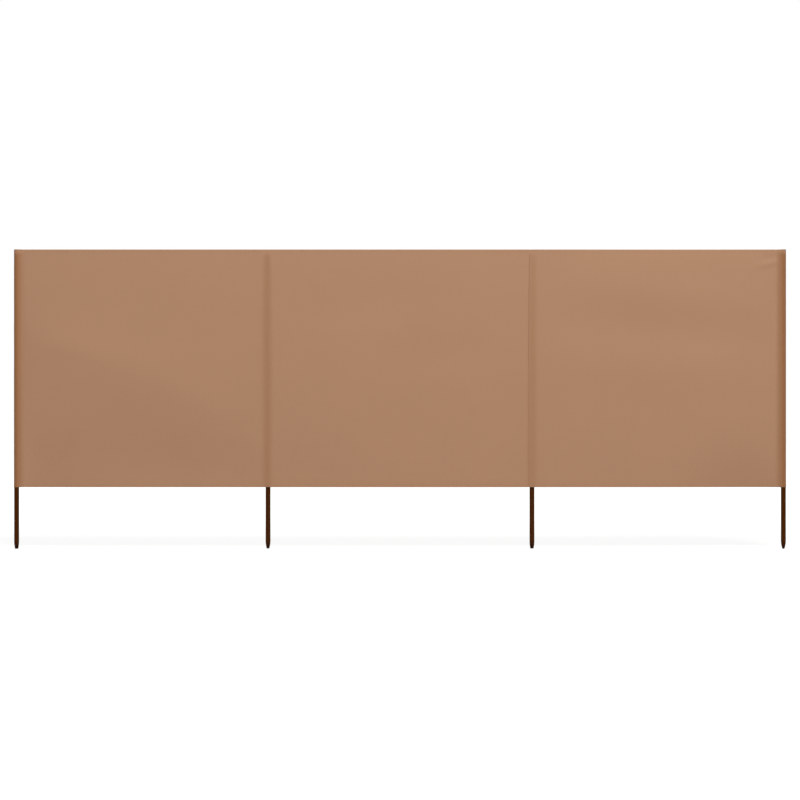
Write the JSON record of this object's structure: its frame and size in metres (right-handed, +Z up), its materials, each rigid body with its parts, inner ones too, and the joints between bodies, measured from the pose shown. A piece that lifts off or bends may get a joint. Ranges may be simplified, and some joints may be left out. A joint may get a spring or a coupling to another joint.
{
  "type": "beach windbreak",
  "caption": "Long low cloth screen that runs on in bays, held up by round steel posts in sewn sleeves; their bare tapered ends push into sand.",
  "frame": {"origin": "centre of the flat end of the left end post's tip", "axes": "+X along the run of bays to the right, +Y from the cloth's face to its back, +Z up"},
  "size_m": [3.9492, 0.0458, 1.53],
  "materials": {
    "cloth": "matte",
    "post_coating": "satin"
  },
  "bodies": {
    "root": {"left_end_post": "post_coating", "left_inner_post": "post_coating", "right_inner_post": "post_coating", "right_end_post": "post_coating", "left_end_sleeve": "cloth", "left_inner_sleeve": "cloth", "right_inner_sleeve": "cloth", "right_end_sleeve": "cloth", "left_panel": "cloth", "middle_panel": "cloth", "right_panel": "cloth"}
  },
  "joints": []
}
